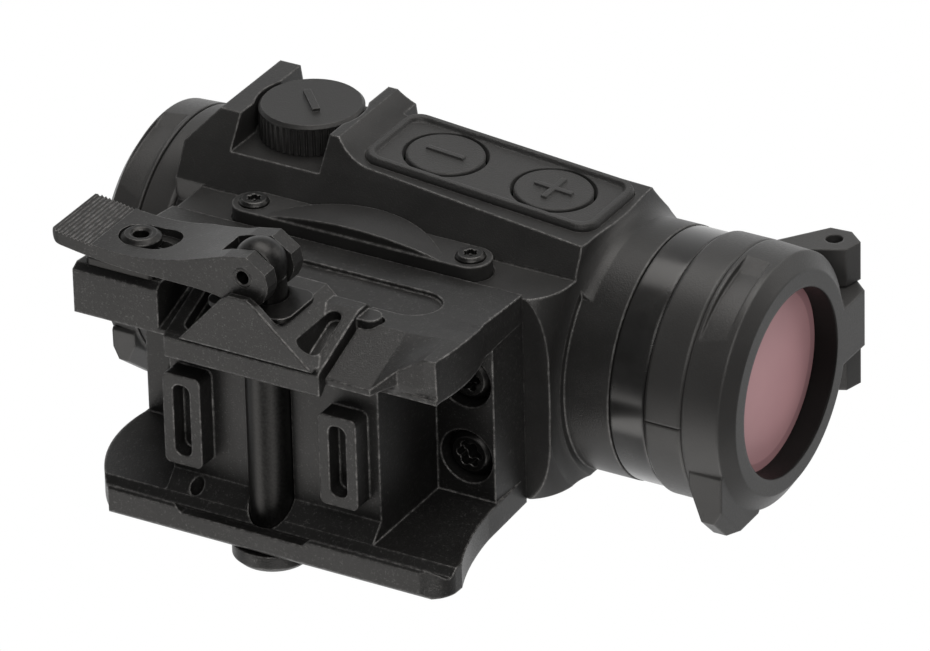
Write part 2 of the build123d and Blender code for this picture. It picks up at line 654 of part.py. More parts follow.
with BuildPart() as mount_screws:
    for screw_x in SCREW_X:
        for side in (-1, 1):
            seat = Plane(origin=(screw_x, side * SCREW_Y, RECESS_Z + 2.85), z_dir=(0, 0, -1))
            add(socket_screw(seat, 2.8, 2.3, 1.5, 7.0, 1.6))
save(mount_screws.part, "mount_screws")

# ------------------------------------------------------------------ clamp
JAW_ENDS = (-10.2, 9.6)
GUSSET = ((-7.9, -12.6), (-2.3, -18.9), (-1.3, -19.5), (1.0, -19.5), (2.0, -18.9), (9.1, -12.6))

with BuildPart() as movable_jaw:
    jaw_section = ((-WALL_IN + 0.1, 5.8), (-WALL_IN + 0.1, -2.0), (-10.72, -2.85), (-10.72, -3.35),
                   (-9.25, -5.0), (-9.6, -5.4), (-12.0, -5.4), (-12.4, -5.0), (-15.9, 3.6), (-15.9, 5.3),
                   (-15.4, 5.8))
    extrude(outline(rail_section(JAW_ENDS[0]), *jaw_section), amount=JAW_ENDS[1] - JAW_ENDS[0])
    extrude(outline(Plane.XY.offset(-5.9), *GUSSET), amount=11.6)
    with BuildSketch(Plane.XZ.offset(-SADDLE_BACK_Y)):
        with Locations((0, 1.0)):
            Rectangle(30.0, 12.0)
    extrude(amount=6.0, mode=Mode.SUBTRACT)
    # Guide knobs that run in the mount's wall, and a round-ended pocket beside each
    with BuildSketch(Plane.XZ.offset(GUIDE_IN)):
        with Locations((GUIDE_X, GUIDE_Z)):
            SlotOverall(*GUIDE_SIZE)
    extrude(amount=1.6)
    for pocket_x in (-7.6, 7.2):
        pocket_plane = Plane(origin=(pocket_x, -14.95, -0.9), x_dir=(0, -3.5, 8.6), z_dir=(0, -8.6, -3.5))
        extrude(slot(pocket_plane, 5.2, 2.1), amount=-2.4, mode=Mode.SUBTRACT)
        extrude(slot(pocket_plane, 5.2, 2.1), amount=3.0, mode=Mode.SUBTRACT)
    extrude(disc(bolt_plane(-9.0), BOLT_R + 0.15), amount=12.0, mode=Mode.SUBTRACT)
    with BuildSketch(Plane.XZ.offset(9.5)):
        with Locations((-6.5, 3.7), (6.5, 3.7)):
            Circle(1.35)
    extrude(amount=2.1, mode=Mode.SUBTRACT)
save(movable_jaw.part, "movable_jaw")

with BuildPart() as jaw_springs:
    for spring_x in (-6.5, 6.5):
        add(coil((spring_x, -6.1, 3.7), (0, -1, 0), 1.0, 0.18, 5.0, 6))
save(jaw_springs.part, "jaw_springs")

with BuildPart() as cam_saddle:
    saddle_seat = Plane(origin=(0, SADDLE_BACK_Y - 0.03, -1.2), x_dir=(1, 0, 0), z_dir=(0, -1, 0))
    extrude(rounded(saddle_seat, 10.4, 7.4, 1.6), amount=SADDLE_BACK_Y - 0.03 - SADDLE_TOP_Y)
    extrude(disc(bolt_plane(-15.0), BOLT_R + 0.2), amount=4.0, mode=Mode.SUBTRACT)
save(cam_saddle.part, "cam_saddle")

NUT_END_Y = MOUNT_HALF + 2.2
eye_plane = Plane(origin=(LEVER_PIN[0], LEVER_PIN[1], LEVER_Z - FORK_SLOT_HALF + 0.12))
# The bolt's eye is a ball cut flat on both sides to fit the lever's fork
with BuildPart() as bolt_eye:
    extrude(disc(eye_plane, EYE_R), amount=2 * FORK_SLOT_HALF - 0.24)
    with Locations((LEVER_PIN[0], LEVER_PIN[1], LEVER_Z)):
        Sphere(EYE_R, mode=Mode.INTERSECT)

with BuildPart() as cross_bolt:
    extrude(disc(bolt_plane(NUT_END_Y + 0.2), BOLT_R), amount=NUT_END_Y + 20.2)
    for flat_z in (LEVER_Z - FORK_SLOT_HALF + 0.12 - 2.0, LEVER_Z + FORK_SLOT_HALF - 0.12 + 2.0):
        with BuildSketch(Plane(origin=(0, SADDLE_BACK_Y - 0.4, flat_z), x_dir=(1, 0, 0), z_dir=(0, -1, 0))):
            Rectangle(6.0, 4.0)
        extrude(amount=6.0, mode=Mode.SUBTRACT)
    add(bolt_eye.part)
    extrude(disc(eye_plane.offset(-1.0), 1.24), amount=6.0, mode=Mode.SUBTRACT)
save(cross_bolt.part, "cross_bolt")

with BuildPart() as clamp_nut:
    extrude(disc(bolt_plane(MOUNT_HALF + 0.04), 4.7, BOLT_R + 0.05), amount=-2.16)
    outer_face_edges = clamp_nut.edges().filter_by(GeomType.CIRCLE).group_by(Axis.Y)[-1]
    chamfer(outer_face_edges.sort_by(SortBy.RADIUS)[-1], 0.6)
    with BuildSketch(Plane(origin=(0, NUT_END_Y + 0.1, BOLT_Z), x_dir=(1, 0, 0), z_dir=(0, -1, 0))):
        Rectangle(12.0, 1.3)
    extrude(amount=0.9, mode=Mode.SUBTRACT)
save(clamp_nut.part, "clamp_nut")

# ------------------------------------------------------------------ lever
# The cam's corners all lie inside the distance that the saddle leaves them as the jaw follows the lever
CAM = ((0.3, -24.0), (2.66, -22.4), (2.98, -20.9), (2.85, -20.05), (2.3, -18.9), (1.07, -17.92),
       (-0.2, -17.6), (-1.8, -17.85), (-3.6, -18.35))

with BuildPart() as clamp_lever:
    with BuildSketch(Plane.XY.offset(LEVER_Z - LEVER_HALF - 1.0)):
        with BuildLine():
            Spline((-24.6, -21.6), (-22.0, -21.15), (-19.4, -20.8), (-15.0, -20.6), (-9.4, -21.4),
                   (-2.6, -23.45))
            Polyline((-2.6, -23.45), *CAM)
            Spline((-3.6, -18.35), (-9.0, -18.75), (-16.1, -18.85), (-20.5, -19.3), (-24.2, -19.85))
            ThreePointArc((-24.2, -19.85), (-24.85, -20.7), (-24.6, -21.6))
        make_face()
    extrude(amount=2 * LEVER_HALF + 4.0)
    # Seen from outside, the lever narrows to the fork and has round corners at the tip
    with BuildSketch(Plane(origin=(0, -15.0, 0), x_dir=(1, 0, 0), z_dir=(0, -1, 0))) as lever_plan:
        with BuildLine():
            Polyline((-25.5, LEVER_HALF), (-9.5, LEVER_HALF), (-3.8, LEVER_Z + FORK_HALF),
                     (5.0, LEVER_Z + FORK_HALF), (5.0, LEVER_Z - FORK_HALF), (-3.8, LEVER_Z - FORK_HALF),
                     (-9.5, -LEVER_HALF), (-25.5, -LEVER_HALF), (-25.5, LEVER_HALF))
        make_face()
        fillet(lever_plan.vertices().group_by(Axis.X)[0], 2.0)
    extrude(amount=12.0, mode=Mode.INTERSECT)
    with BuildSketch(Plane.XY.offset(LEVER_Z - FORK_SLOT_HALF)):
        with Locations((1.2, LEVER_PIN[1])):
            Rectangle(10.4, 12.0)
    extrude(amount=2 * FORK_SLOT_HALF, mode=Mode.SUBTRACT)
    extrude(disc(Plane(origin=(LEVER_PIN[0], LEVER_PIN[1], -9.0)), 1.2), amount=18.0, mode=Mode.SUBTRACT)
    # Sliding lock's recess and the slot under it
    lock_floor = Plane(origin=(LOCK_X + 1.3, -19.75, 0), x_dir=(1, 0, 0), z_dir=(0, -1, 0))
    extrude(slot(lock_floor, 2.6, 5.0), amount=4.0, mode=Mode.SUBTRACT)
    extrude(slot(lock_floor.offset(-2.0), 2.6, 2.7), amount=3.0, mode=Mode.SUBTRACT)
    # Grip grooves near the tip
    for groove in range(10):
        groove_x = -24.1 + 0.48 * groove
        with BuildSketch(Plane.XY.offset(-LEVER_HALF - 1.0)):
            with Locations((groove_x, -21.56 + 0.155 * (groove_x + 24.6))):
                Rectangle(0.28, 0.32, rotation=45)
        extrude(amount=2 * LEVER_HALF + 2.0, mode=Mode.SUBTRACT)
save(clamp_lever.part, "clamp_lever")

with BuildPart() as lever_pin:
    pin_end = Plane(origin=(LEVER_PIN[0], LEVER_PIN[1], LEVER_Z - FORK_HALF))
    extrude(disc(pin_end, 1.18, 0.8), amount=2 * FORK_HALF)
save(lever_pin.part, "lever_pin")

with BuildPart() as lock_button:
    with BuildSketch(Plane.XY):
        with BuildLine():
            Polyline((LOCK_X, -18.9), (LOCK_X + 0.85, -18.9), (LOCK_X + 0.95, -20.75),
                     (LOCK_X + 1.3, -20.95), (LOCK_X + 1.8, -20.95),
                     (LOCK_X + 2.35, -20.5), (LOCK_X + 2.35, -19.8), (LOCK_X + 1.25, -19.8),
                     (LOCK_X + 1.25, -18.55), (LOCK_X + 2.1, -18.55), (LOCK_X + 2.1, -17.6),
                     (LOCK_X, -17.6), close=True)
        make_face()
    revolve(axis=Axis((LOCK_X, 0, 0), (0, 1, 0)))
save(lock_button.part, "lock_button")

with BuildPart() as catch_plate:
    catch_seat = Plane(origin=(-18.4, -15.93, 0.6), x_dir=(1, 0, 0), z_dir=(0, -1, 0))
    extrude(rounded(catch_seat, 9.0, 3.6, 0.8), amount=0.9)
save(catch_plate.part, "catch_plate")

# ------------------------------------------------------------------ flip-up covers


def cover_side(start, sign):
    """Side view of a cover: local x runs away from the body, local y up from the optical axis."""
    return Plane(origin=(start, 0, OPTIC_Z), x_dir=(sign, 0, 0), z_dir=(0, -sign, 0))


def cover_ring(ring, sign):
    """Ring on the tube's end with two hinge ears over it, measured from the ring's outer end."""
    view = cover_side(ring[1], sign)
    width = abs(ring[1] - ring[0])
    inner = 13.65 if sign > 0 else 11.6
    with BuildPart() as piece:
        with BuildSketch(view):
            with BuildLine():
                Polyline((-width + 0.1, 13.8), (-width + 0.2, 15.3), (-0.3, 21.0), (2.3, 21.2), (4.3, 19.5),
                         (3.7, 17.2), (0.0, 15.4), (0.0, 13.8), close=True)
            make_face()
            with Locations((HINGE_AHEAD, HINGE_UP)):
                Circle(HINGE_PIN_R + 0.02, mode=Mode.SUBTRACT)
        extrude(amount=12.0, both=True)
        with BuildSketch(Plane.XY.offset(OPTIC_Z + 12.0)):
            with Locations((ring[1], (EAR_Y[0][1] + EAR_Y[1][0]) / 2)):
                Rectangle(24.0, EAR_Y[1][0] - EAR_Y[0][1])
            with Locations((ring[1], EAR_Y[0][0] - 5.0), (ring[1], EAR_Y[1][1] + 5.0)):
                Rectangle(24.0, 10.0)
        extrude(amount=12.0, mode=Mode.SUBTRACT)
        with BuildSketch(view):
            with BuildLine():
                Polyline((-width + 0.03, inner), (-width + 0.03, 14.8), (-width + 0.4, COVER_R),
                         (-0.3, COVER_R), (0.0, COVER_R - 0.25), (0.0, inner), close=True)
            make_face()
        revolve(axis=OPTIC_AXIS)
        if sign > 0:
            add(tube(ring[0] - 1.0, ring[1] + 1.0, inner, 0), mode=Mode.SUBTRACT)
        else:
            add(tube(ring[1] - 1.0, ring[0] + 1.0, inner, 0), mode=Mode.SUBTRACT)
        # Moulding line along the lowest point of the ring
        with BuildSketch(across(min(ring) - 0.2)):
            with Locations((0, -COVER_R)):
                Rectangle(*MOULD_LINE)
        extrude(amount=width + 0.4, mode=Mode.SUBTRACT)
    return piece.part


def lift_tab(ring_end, sign, reach, half_root, half_tip, depth):
    """Tapering tab on the lid's rim, low on the +Y side, for lifting the lid with a finger."""
    radial = Plane(origin=(ring_end, 0, OPTIC_Z), x_dir=(sign, 0, 0), z_dir=(0, -1, -1))
    outward = 1 if radial.to_local_coords(Vector(ring_end, 10, OPTIC_Z - 10)).Y > 0 else -1
    side = [(0.5, 13.6), (0.5, 15.2), (depth * 0.45, reach), (depth * 0.8, reach), (depth, reach - 1.2),
            (depth, 13.6)]
    with BuildPart() as tab:
        with BuildSketch(radial):
            with BuildLine():
                Polyline(*[(along, outward * up) for along, up in side], close=True)
            make_face()
        extrude(amount=9.0, both=True)
        facing = Plane(origin=(ring_end, 0, OPTIC_Z), x_dir=(0, 1, 1), z_dir=(sign, 0, 0))
        below = 1 if facing.to_local_coords(Vector(ring_end, 10, OPTIC_Z - 10)).Y > 0 else -1
        with BuildSketch(facing):
            with BuildLine():
                Polyline((-half_root, below * 13.0), (-half_root, below * 14.0), (-half_tip, below * reach),
                         (half_tip, below * reach), (half_root, below * 14.0), (half_root, below * 13.0),
                         close=True)
            make_face()
        extrude(amount=depth + 2.0, mode=Mode.INTERSECT)
    return tab.part


def cover_lid(ring, sign, depth, tab):
    """Hinged lid with a window opening, its lift tab, a crescent finger groove and a hinge tongue."""
    view = cover_side(ring[1], sign)
    with BuildPart() as piece:
        with BuildSketch(view):
            with BuildLine():
                Polyline((0.1, 12.9), (0.1, COVER_R), (depth - 1.3, COVER_R - 0.2), (depth, COVER_R - 2.1),
                         (depth, OPENING_R), (1.6, OPENING_R), (1.6, 12.9), close=True)
            make_face()
        revolve(axis=OPTIC_AXIS)
        add(tab)
        with BuildSketch(across(ring[1] + sign * 0.6)):
            with BuildLine():
                ThreePointArc((-14.0, -2.6), (-12.3, -7.7), (-8.15, -13.05))
                Polyline((-8.15, -13.05), (-9.5, -18.0), (-18.0, -18.0), (-18.0, 0.2), (-15.3, 0.2),
                         (-14.0, -2.6))
            make_face()
        extrude(amount=sign * 3.1, mode=Mode.SUBTRACT)
        # Hinge tongue, cut back round the torsion spring
        tongue_start = view.offset(-sign * TONGUE_Y[1])
        with BuildSketch(tongue_start):
            with BuildLine():
                Polyline((depth, 12.4), (depth, 17.6), (3.6, 19.6), (2.2, 18.0), (1.9, 14.6), (2.2, 12.4),
                         close=True)
            make_face()
            with Locations((HINGE_AHEAD, HINGE_UP)):
                Circle(2.25)
                Circle(HINGE_PIN_R + 0.06, mode=Mode.SUBTRACT)
        extrude(amount=sign * (TONGUE_Y[1] - TONGUE_Y[0]))
        with BuildSketch(view):
            with Locations((HINGE_AHEAD, HINGE_UP)):
                Circle(2.4)
        extrude(amount=1.6, both=True, mode=Mode.SUBTRACT)
        # Seat for the window
        extrude(disc(across(ring[1] + sign * 1.6), 11.8), amount=sign * 1.3, mode=Mode.SUBTRACT)
    return piece.part


def cover_window(ring, sign):
    """Clear disc held in the lid's seat."""
    with BuildPart() as piece:
        with BuildSketch(across(ring[1] + sign * 1.65)):
            Circle(11.75)
        extrude(amount=sign * 1.22)
    return piece.part


def hinge_pin(ring, sign):
    """Plain hinge pin along Y."""
    with BuildPart() as piece:
        pin_centre = (ring[1] + sign * HINGE_AHEAD, EAR_Y[0][0] + HINGE_PIN_RECESS, OPTIC_Z + HINGE_UP)
        pin_start = Plane(origin=pin_centre, z_dir=(0, 1, 0))
        extrude(disc(pin_start, HINGE_PIN_R), amount=EAR_Y[1][1] - EAR_Y[0][0] - 2 * HINGE_PIN_RECESS)
    return piece.part


COVERS = (("front", FRONT_RING_X, 1, COVER_DEPTH, FRONT_TAB, FRONT_TAB_TURN),
          ("rear", REAR_RING_X, -1, REAR_COVER_DEPTH, REAR_TAB, REAR_TAB_TURN))
for cover_name, ring_x, direction, lid_depth, tab_shape, tab_turn in COVERS:
    save(cover_ring(ring_x, direction), f"{cover_name}_cap_ring")
    lid_tab = lift_tab(ring_x[1], direction, *tab_shape).rotate(OPTIC_AXIS, tab_turn)
    save(cover_lid(ring_x, direction, lid_depth, lid_tab), f"{cover_name}_lid")
    save(cover_window(ring_x, direction), f"{cover_name}_lid_window")
    save(hinge_pin(ring_x, direction), f"{cover_name}_hinge_pin")
    hinge_end = (ring_x[1] + direction * HINGE_AHEAD, -1.3, OPTIC_Z + HINGE_UP)
    save(coil(hinge_end, (0, 1, 0), 1.55, 0.25, 2.6, 4), f"{cover_name}_hinge_spring")
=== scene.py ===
"""Looks for the red dot finder: finishes, softened edges, light and camera.

Units are metres and the axes are the frame's: +X along the optical axis to the objective end,
+Z away from the rail and -Y the side with the keys, the windage cap and the lever.
"""

import json
import math

import bmesh
import bpy
from mathutils import Matrix, Vector


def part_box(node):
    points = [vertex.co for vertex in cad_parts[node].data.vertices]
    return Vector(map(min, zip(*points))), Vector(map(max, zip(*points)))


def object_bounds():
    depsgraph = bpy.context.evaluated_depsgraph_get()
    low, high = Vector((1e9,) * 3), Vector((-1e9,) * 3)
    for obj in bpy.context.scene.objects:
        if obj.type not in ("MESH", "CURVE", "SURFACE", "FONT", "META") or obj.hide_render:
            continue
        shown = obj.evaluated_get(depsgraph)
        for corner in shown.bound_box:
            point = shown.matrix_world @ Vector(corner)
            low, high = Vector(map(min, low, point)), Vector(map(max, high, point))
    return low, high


MM = 0.001

# camera
AIM = Vector((0.0130, -0.0066, 0.0205))
VIEW_DIRECTION = Vector((-0.4459, 0.4831, 0.7536)).normalized()
VIEW_UP = Vector((-0.2236, -0.8753, 0.4288))
VIEW_DISTANCE = 1.0
LENS_MM = 348.4
SENSOR_MM = 36.0

LAMP_COLOUR = (1.0, 0.975, 0.945)

# surface detail: scales in features per metre, radii and depths in metres
BLAST_SCALE = 5200.0
CLOUD_SCALE = 110.0
SCRATCH_SCALE = 1500.0
SPECK_SCALE = 4600.0
EDGE_RADIUS = 0.40 * MM
FINE_EDGE_RADIUS = 0.12 * MM
BOARD_EDGE_RADIUS = 0.05 * MM
BEVEL_SAMPLES = 6
# width over which the painted shade inside the window openings fades out
BORE_SHADE_FADE = 0.15 * MM
WINDOW_LEDGE = 0.72 * MM
WINDOW_DOT_SCALE = 620.0

# cosines between the face and the softened normal: below the first an edge starts to show
EDGE_START = 0.99
EDGE_FULL = 0.90

# greys of bare metal where the finish is rubbed or speckled, the rubbed grey also a painted highlight
# along edges, and the painted shade inside the window openings
RUBBED_AND_HIGHLIGHT_GREY = 0.34
SPECK_GREY = 0.17
OPENING_SHADE_GREY = 0.003

# stage
FLOOR_DROP = 0.2 * MM
FLOOR_RADIUS = 3.0
FLOOR_SIDES = 96

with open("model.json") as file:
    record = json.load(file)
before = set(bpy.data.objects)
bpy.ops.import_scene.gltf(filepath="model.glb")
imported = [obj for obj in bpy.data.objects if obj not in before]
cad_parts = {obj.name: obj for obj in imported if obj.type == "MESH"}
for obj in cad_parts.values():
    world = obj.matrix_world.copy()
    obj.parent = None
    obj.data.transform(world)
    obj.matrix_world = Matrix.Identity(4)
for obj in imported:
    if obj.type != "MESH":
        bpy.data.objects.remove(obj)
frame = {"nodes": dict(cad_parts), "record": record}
cad_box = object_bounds()
nodes = frame["nodes"]
window_low, window_high = (Vector(corner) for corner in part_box("front_lid_window"))
optic_height = (window_low.z + window_high.z) / 2
window_radius = (window_high.z - window_low.z) / 2 - WINDOW_LEDGE


# ---------------------------------------------------------------- shader helpers

def new_material(name):
    """A node material with its principled shader."""
    material = bpy.data.materials.new(name)
    material.use_nodes = True
    tree = material.node_tree
    surface = tree.nodes["Principled BSDF"]
    return material, tree, surface


def add(tree, kind, settings=None, values=None):
    """A node with its settings and its unlinked inputs set; a socket given as a value is linked."""
    node = tree.nodes.new(kind)
    for key, value in (settings or {}).items():
        setattr(node, key, value)
    for key, value in (values or {}).items():
        if isinstance(value, bpy.types.NodeSocket):
            tree.links.new(value, node.inputs[key])
        else:
            node.inputs[key].default_value = value
    return node


def grey(value):
    """A neutral colour, very slightly warm as the finish is."""
    return (value * 1.0, value * 0.985, value * 0.97, 1.0)


def place(tree):
    """The point's place in its own object, which stays with it when the object moves."""
    return add(tree, "ShaderNodeTexCoord").outputs["Object"]


def noise(tree, scale, detail=3.0, roughness=0.55, stretch=None):
    """Noise from 0 to 1. Stretch scales the three axes, for brushed or drawn metal."""
    where = place(tree)
    if stretch:
        where = add(tree, "ShaderNodeMapping", None, {"Vector": where, "Scale": stretch}).outputs[0]
    settings = {"noise_dimensions": "3D"}
    values = {"Vector": where, "Scale": scale, "Detail": detail, "Roughness": roughness}
    return add(tree, "ShaderNodeTexNoise", settings, values).outputs[0]


def ramp(tree, value, low, high, to_low=0.0, to_high=1.0):
    """Value taken from the range low to high to the range to_low to to_high, and held there."""
    values = {
        "Value": value,
        "From Min": low,
        "From Max": high,
        "To Min": to_low,
        "To Max": to_high,
    }
    return add(tree, "ShaderNodeMapRange", {"clamp": True}, values).outputs[0]


def maths(tree, operation, first, second=0.0):
    """One sum on two numbers or sockets."""
    return add(tree, "ShaderNodeMath", {"operation": operation}, {0: first, 1: second}).outputs[0]


def mix_colour(tree, share, first, second):
    """A colour between two others."""
    node = tree.nodes.new("ShaderNodeMix")
    node.data_type = "RGBA"
    for index, value in ((0, share), (6, first), (7, second)):
        if isinstance(value, bpy.types.NodeSocket):
            tree.links.new(value, node.inputs[index])
        else:
            node.inputs[index].default_value = value
    return node.outputs[2]


def soft_normal(tree, radius):
    """The normal with every edge rounded to this radius."""
    return add(tree, "ShaderNodeBevel", {"samples": BEVEL_SAMPLES}, {"Radius": radius}).outputs[0]


def edge_mask(tree, rounded_normal):
    """1 along outer and inner edges, 0 on open faces."""
    flat = add(tree, "ShaderNodeNewGeometry").outputs["True Normal"]
    values = {0: flat, 1: rounded_normal}
    dot = add(tree, "ShaderNodeVectorMath", {"operation": "DOT_PRODUCT"}, values)
    return ramp(tree, dot.outputs["Value"], EDGE_START, EDGE_FULL)


def bump(tree, height, distance, strength, normal):
    """The normal disturbed by a height."""
    values = {"Height": height, "Distance": distance, "Strength": strength, "Normal": normal}
    return add(tree, "ShaderNodeBump", None, values).outputs[0]


# ---------------------------------------------------------------- finishes

def anodised(name, shade, roughness, wear_and_highlight, specks, radius=EDGE_RADIUS):
    """Blasted, anodised aluminium: clouding, fine grain, bright specks, and edges paler, partly rubbed
    wear and partly a painted highlight along outer and inner edges.
    """
    material, tree, surface = new_material(name)
    rounded = soft_normal(tree, radius)
    edges = edge_mask(tree, rounded)
    cloud = noise(tree, CLOUD_SCALE, 4.0)
    grain = noise(tree, BLAST_SCALE, 2.0, 0.6)
    scuff = noise(tree, SCRATCH_SCALE, 6.0, 0.7)
    base = mix_colour(tree, ramp(tree, cloud, 0.35, 0.65), grey(shade * 0.86), grey(shade * 1.14))
    dots = noise(tree, SPECK_SCALE, 5.0, 0.75)
    speck = maths(tree, "MULTIPLY", dots, ramp(tree, scuff, 0.3, 0.7, 0.8, 1.1))
    base = mix_colour(tree, ramp(tree, speck, 0.54, 0.66, 0.0, specks), base, grey(SPECK_GREY))
    # paler edges: partly real rubbed wear, partly a painted highlight along every outer and inner edge
    rubbed_and_highlight = maths(tree, "MULTIPLY", edges, ramp(tree, scuff, 0.42, 0.62, 0.15, wear_and_highlight))
    base = mix_colour(tree, rubbed_and_highlight, base, grey(RUBBED_AND_HIGHLIGHT_GREY))
    tree.links.new(base, surface.inputs["Base Color"])
    surface.inputs["Metallic"].default_value = 0.35
    rough = ramp(tree, cloud, 0.3, 0.7, roughness - 0.05, roughness + 0.06)
    tree.links.new(rough, surface.inputs["Roughness"])
    tree.links.new(bump(tree, grain, 0.05 * MM, 0.6, rounded), surface.inputs["Normal"])
    return material


def gloss_black(name):
    """Polished black metal with a soft, clear-coated reflection."""
    material, tree, surface = new_material(name)
    rounded = soft_normal(tree, EDGE_RADIUS)
    haze = noise(tree, CLOUD_SCALE * 2.0, 4.0)
    dust = noise(tree, BLAST_SCALE, 2.0)
    tint = mix_colour(tree, ramp(tree, haze, 0.35, 0.65), grey(0.017), grey(0.027))
    tree.links.new(tint, surface.inputs["Base Color"])
    tree.links.new(ramp(tree, haze, 0.4, 0.75, 0.22, 0.30), surface.inputs["Roughness"])
    surface.inputs["Metallic"].default_value = 0.25
    surface.inputs["Coat Weight"].default_value = 0.35
    surface.inputs["Coat Roughness"].default_value = 0.16
    tree.links.new(bump(tree, dust, 0.01 * MM, 0.06, rounded), surface.inputs["Normal"])
    return material


def off_axis(tree):
    """The point's distance from the optical axis."""
    split = add(tree, "ShaderNodeSeparateXYZ", None, {0: place(tree)})
    height = maths(tree, "SUBTRACT", split.outputs["Z"], optic_height)
    across_squared = maths(tree, "POWER", split.outputs["Y"], 2.0)
    height_squared = maths(tree, "POWER", height, 2.0)
    return maths(tree, "SQRT", maths(tree, "ADD", across_squared, height_squared))


def moulded(name, shade, roughness):
    """Matte moulded polymer with a spark-eroded texture, and painted shade inside the window openings,
    where the colour goes near black and the shine drops.
    """
    material, tree, surface = new_material(name)
    rounded = soft_normal(tree, EDGE_RADIUS)
    # painted shade: 1 inside the window openings, where the shadow falls, fading to 0 just outside
    bore_shade = ramp(tree, off_axis(tree), window_radius, window_radius + BORE_SHADE_FADE, 1.0, 0.0)
    edges = edge_mask(tree, rounded)
    cloud = noise(tree, CLOUD_SCALE, 3.0)
    grain = noise(tree, BLAST_SCALE * 0.8, 3.0, 0.6)
    base = mix_colour(tree, ramp(tree, cloud, 0.35, 0.65), grey(shade * 0.9), grey(shade * 1.12))
    base = mix_colour(tree, maths(tree, "MULTIPLY", edges, 0.14), base, grey(0.20))
    # paint the shade of the openings as a near-black colour
    base = mix_colour(tree, maths(tree, "MULTIPLY", bore_shade, 0.85), base, grey(OPENING_SHADE_GREY))
    tree.links.new(base, surface.inputs["Base Color"])
    rough = ramp(tree, grain, 0.3, 0.7, roughness - 0.06, roughness + 0.06)
    tree.links.new(rough, surface.inputs["Roughness"])
    shine = ramp(tree, bore_shade, 0.0, 1.0, 0.5, 0.12)
    tree.links.new(shine, surface.inputs["Specular IOR Level"])
    tree.links.new(bump(tree, grain, 0.04 * MM, 0.5, rounded), surface.inputs["Normal"])
    return material


def rubber(name, shade, grain_scale, grain_depth):
    """Moulded rubber: dull, with a fine pebbled grain."""
    material, tree, surface = new_material(name)
    rounded = soft_normal(tree, EDGE_RADIUS)
    cells = add(tree, "ShaderNodeTexVoronoi", None, {"Vector": place(tree), "Scale": grain_scale})
    pebble = cells.outputs["Distance"]
    cloud = noise(tree, CLOUD_SCALE, 3.0)
    base = mix_colour(tree, ramp(tree, pebble, 0.1, 0.7), grey(shade * 1.25), grey(shade * 0.8))
    base = mix_colour(tree, ramp(tree, cloud, 0.4, 0.7, 0.0, 0.3), base, grey(shade * 1.4))
    tree.links.new(base, surface.inputs["Base Color"])
    surface.inputs["Roughness"].default_value = 0.50
    surface.inputs["Sheen Weight"].default_value = 0.08
    height = maths(tree, "SUBTRACT", 1.0, pebble)
    tree.links.new(bump(tree, height, grain_depth, 0.6, rounded), surface.inputs["Normal"])
    return material


def steel(name, shade, roughness, stretch=(1.0, 1.0, 1.0)):
    """Turned or drawn steel, bright or blackened, with fine lines along it."""
    material, tree, surface = new_material(name)
    rounded = soft_normal(tree, EDGE_RADIUS * 0.7)
    edges = edge_mask(tree, rounded)
    lines = noise(tree, BLAST_SCALE * 0.6, 4.0, 0.6, stretch)
    base = mix_colour(tree, ramp(tree, lines, 0.35, 0.65), grey(shade * 0.8), grey(shade * 1.2))
    base = mix_colour(tree, maths(tree, "MULTIPLY", edges, 0.45), base, grey(max(0.3, shade)))
    tree.links.new(base, surface.inputs["Base Color"])
    surface.inputs["Metallic"].default_value = 0.9
    rough = ramp(tree, lines, 0.3, 0.7, roughness - 0.05, roughness + 0.08)
    tree.links.new(rough, surface.inputs["Roughness"])
    tree.links.new(bump(tree, lines, 0.01 * MM, 0.3, rounded), surface.inputs["Normal"])
    return material


def window_tint(name):
    """Pink-tinted clear plastic with a faint pattern of dots, seen as a milky pane, with a painted shade
    ring around its edge.
    """
    material, tree, surface = new_material(name)
    rounded = soft_normal(tree, EDGE_RADIUS)
    settings = {"feature": "F1", "distance": "EUCLIDEAN"}
    values = {"Vector": place(tree), "Scale": WINDOW_DOT_SCALE, "Randomness": 0.0}
    cells = add(tree, "ShaderNodeTexVoronoi", settings, values)
    dots = ramp(tree, cells.outputs["Distance"], 0.10, 0.20, 1.0, 0.0)
    cloud = noise(tree, CLOUD_SCALE, 2.0)
    pink = (0.575, 0.32, 0.345, 1)
    pale_pink = (0.615, 0.345, 0.37, 1)
    base = mix_colour(tree, ramp(tree, cloud, 0.3, 0.7), pink, pale_pink)
    base = mix_colour(tree, maths(tree, "MULTIPLY", dots, 0.10), base, (0.60, 0.36, 0.38, 1))
    # painted shade: a darker ring around the pane's edge, next to the opening's ledge
    rim_shade_start = window_radius - 1.1 * MM
    rim = ramp(tree, off_axis(tree), rim_shade_start, rim_shade_start + 0.2 * MM, 0.0, 0.35)
    base = mix_colour(tree, rim, base, (0.16, 0.07, 0.08, 1))
    tree.links.new(base, surface.inputs["Base Color"])
    surface.inputs["Roughness"].default_value = 0.45
    surface.inputs["Specular IOR Level"].default_value = 0.3
    tree.links.new(bump(tree, dots, 0.01 * MM, 0.2, rounded), surface.inputs["Normal"])
    return material


def coated_glass(name):
    """Coated lens glass, clear with a red reflection that grows towards the rim."""
    material, tree, surface = new_material(name)
    rim = add(tree, "ShaderNodeLayerWeight", None, {"Blend": 0.35}).outputs["Facing"]
    haze = noise(tree, CLOUD_SCALE, 2.0)
    tint = mix_colour(tree, rim, (0.85, 0.62, 0.66, 1), (0.75, 0.25, 0.30, 1))
    tree.links.new(tint, surface.inputs["Base Color"])
    tree.links.new(ramp(tree, haze, 0.3, 0.7, 0.02, 0.05), surface.inputs["Roughness"])
    surface.inputs["Transmission Weight"].default_value = 0.85
    surface.inputs["IOR"].default_value = 1.5
    return material


